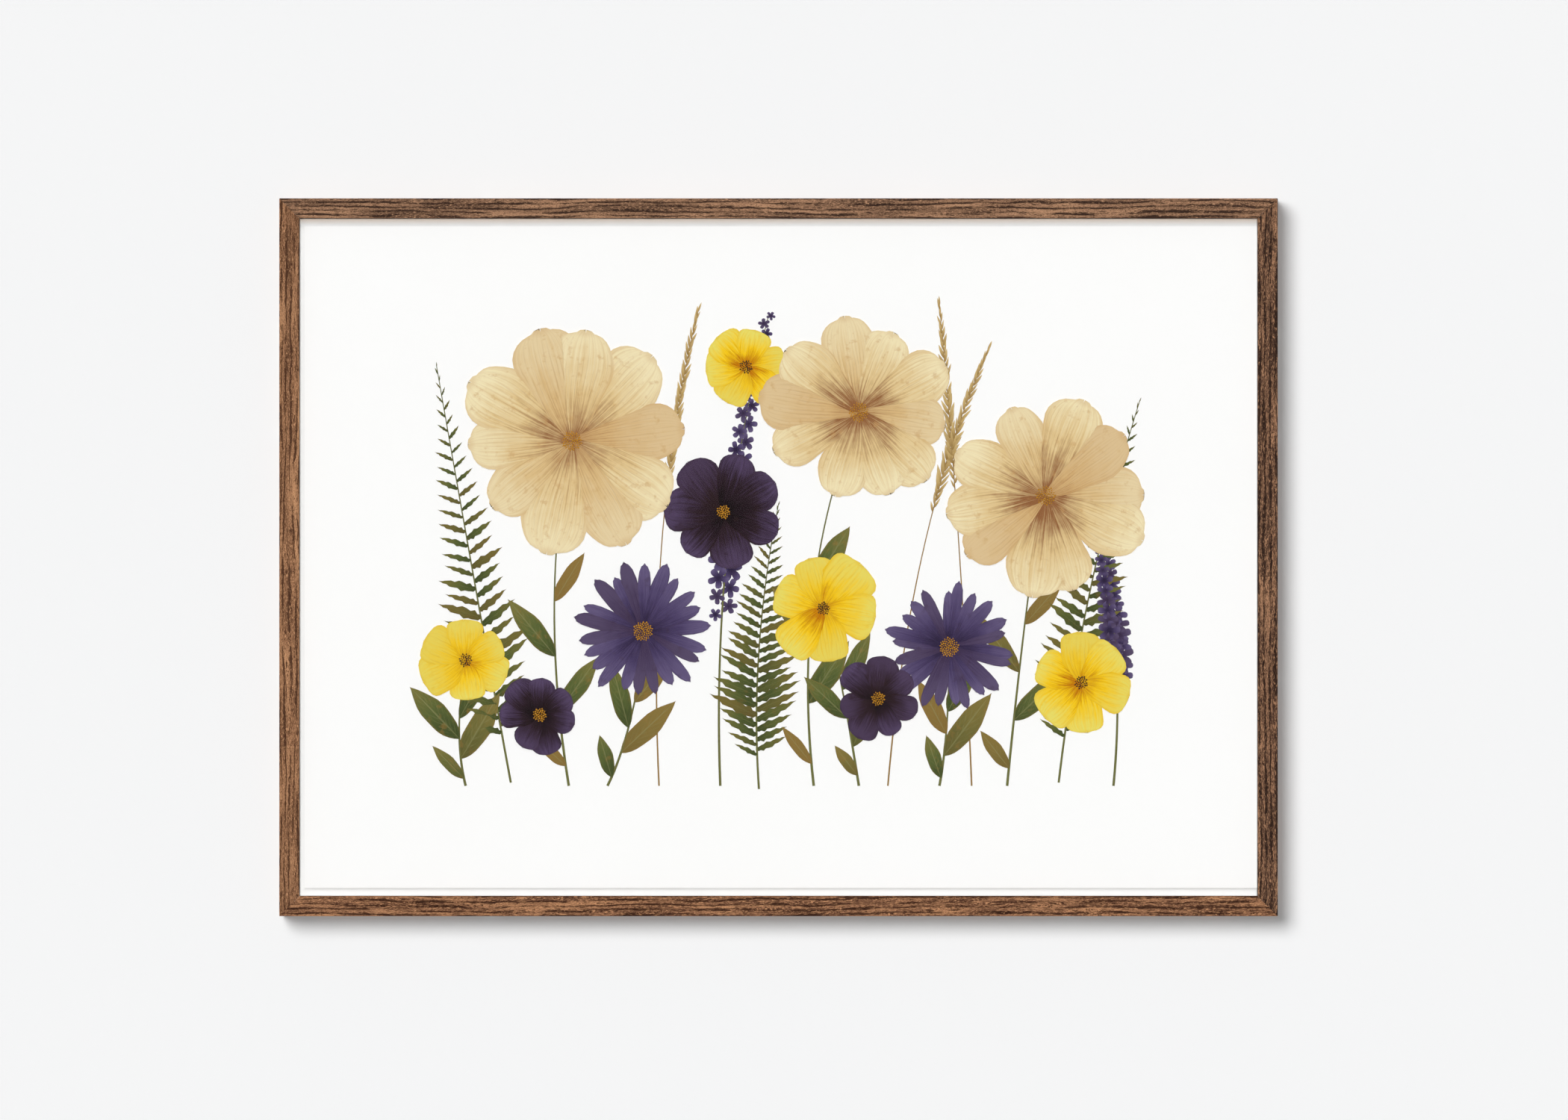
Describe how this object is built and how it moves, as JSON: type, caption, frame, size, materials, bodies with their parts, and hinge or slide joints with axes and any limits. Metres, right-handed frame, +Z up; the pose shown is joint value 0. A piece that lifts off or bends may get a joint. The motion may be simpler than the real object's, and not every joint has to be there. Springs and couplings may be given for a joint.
{
  "type": "floating picture frame",
  "caption": "Slim landscape frame of mitred stained-oak rails with a clear pane, a sheet floated on a riser before an off-white board, and swivelling turn buttons and D-rings on its back.",
  "frame": {"origin": "centre of the frame on the wall plane that its bumpers touch", "axes": "+X to the right seen from the front, +Y back into the wall, +Z up"},
  "size_m": [0.619, 0.023, 0.445],
  "materials": {
    "stained_oak": "dark oil stain, open grain",
    "clear_acrylic": "clear, non-reflecting",
    "white_spacer": "matte white",
    "mount_board": "off-white cotton board",
    "foam_board": "paper-faced foam",
    "mounting_tape": "gummed paper",
    "white_paper": "smooth matte",
    "hardboard": "pressed brown fibre",
    "nail_steel": "plain",
    "zinc_steel": "zinc plated",
    "screw_steel": "zinc plated",
    "nickel": "nickel plated",
    "ring_wire": "nickel plated",
    "bumper_rubber": "matte"
  },
  "bodies": {
    "frame": {"rail_top": "stained_oak", "rail_bottom": "stained_oak", "rail_left": "stained_oak", "rail_right": "stained_oak", "glazing": "clear_acrylic", "spacer_top": "white_spacer", "spacer_bottom": "white_spacer", "spacer_left": "white_spacer", "spacer_right": "white_spacer", "mount_board": "mount_board", "float_riser": "foam_board", "sheet_tape_upper": "mounting_tape", "sheet_tape_lower": "mounting_tape", "art_sheet": "white_paper", "backing_board": "hardboard", "corner_nail_top_left_outer": "nail_steel", "corner_nail_top_left_inner": "nail_steel", "corner_nail_top_right_outer": "nail_steel", "corner_nail_top_right_inner": "nail_steel", "corner_nail_bottom_left_outer": "nail_steel", "corner_nail_bottom_left_inner": "nail_steel", "corner_nail_bottom_right_outer": "nail_steel", "corner_nail_bottom_right_inner": "nail_steel", "button_screw_left_lower": "screw_steel", "button_screw_left_upper": "screw_steel", "button_screw_right_lower": "screw_steel", "button_screw_right_upper": "screw_steel", "button_screw_top_left": "screw_steel", "button_screw_top_right": "screw_steel", "button_screw_bottom_left": "screw_steel", "button_screw_bottom_right": "screw_steel", "hanger_strap_left": "nickel", "hanger_strap_right": "nickel", "hanger_screw_left_upper": "screw_steel", "hanger_screw_left_lower": "screw_steel", "hanger_screw_right_upper": "screw_steel", "hanger_screw_right_lower": "screw_steel", "wall_bumper_top_left": "bumper_rubber", "wall_bumper_top_right": "bumper_rubber", "wall_bumper_bottom_left": "bumper_rubber", "wall_bumper_bottom_right": "bumper_rubber"},
    "button_left_lower": {"turn_button_left_lower": "zinc_steel"},
    "button_left_upper": {"turn_button_left_upper": "zinc_steel"},
    "button_right_lower": {"turn_button_right_lower": "zinc_steel"},
    "button_right_upper": {"turn_button_right_upper": "zinc_steel"},
    "button_top_left": {"turn_button_top_left": "zinc_steel"},
    "button_top_right": {"turn_button_top_right": "zinc_steel"},
    "button_bottom_left": {"turn_button_bottom_left": "zinc_steel"},
    "button_bottom_right": {"turn_button_bottom_right": "zinc_steel"},
    "ring_left": {"hanger_ring_left": "ring_wire"},
    "ring_right": {"hanger_ring_right": "ring_wire"}
  },
  "joints": [
    {"name": "button_left_lower_swivel", "type": "hinge", "parent": "frame", "child": "button_left_lower", "pos_m": [-0.30525, -0.0032, -0.075], "axis": [0, 1, 0], "continuous": true},
    {"name": "button_left_upper_swivel", "type": "hinge", "parent": "frame", "child": "button_left_upper", "pos_m": [-0.30525, -0.0032, 0.075], "axis": [0, 1, 0], "continuous": true},
    {"name": "button_right_lower_swivel", "type": "hinge", "parent": "frame", "child": "button_right_lower", "pos_m": [0.30525, -0.0032, -0.075], "axis": [0, 1, 0], "continuous": true},
    {"name": "button_right_upper_swivel", "type": "hinge", "parent": "frame", "child": "button_right_upper", "pos_m": [0.30525, -0.0032, 0.075], "axis": [0, 1, 0], "continuous": true},
    {"name": "button_top_left_swivel", "type": "hinge", "parent": "frame", "child": "button_top_left", "pos_m": [-0.18, -0.0032, 0.21825], "axis": [0, 1, 0], "continuous": true},
    {"name": "button_top_right_swivel", "type": "hinge", "parent": "frame", "child": "button_top_right", "pos_m": [0.18, -0.0032, 0.21825], "axis": [0, 1, 0], "continuous": true},
    {"name": "button_bottom_left_swivel", "type": "hinge", "parent": "frame", "child": "button_bottom_left", "pos_m": [-0.18, -0.0032, -0.21825], "axis": [0, 1, 0], "continuous": true},
    {"name": "button_bottom_right_swivel", "type": "hinge", "parent": "frame", "child": "button_bottom_right", "pos_m": [0.18, -0.0032, -0.21825], "axis": [0, 1, 0], "continuous": true},
    {"name": "ring_left_swing", "type": "hinge", "parent": "frame", "child": "ring_left", "pos_m": [-0.3042, -0.0019, 0.135], "axis": [-1, 0, 0], "range_deg": [-6, 175]},
    {"name": "ring_right_swing", "type": "hinge", "parent": "frame", "child": "ring_right", "pos_m": [0.3042, -0.0019, 0.135], "axis": [-1, 0, 0], "range_deg": [-6, 175]}
  ]
}
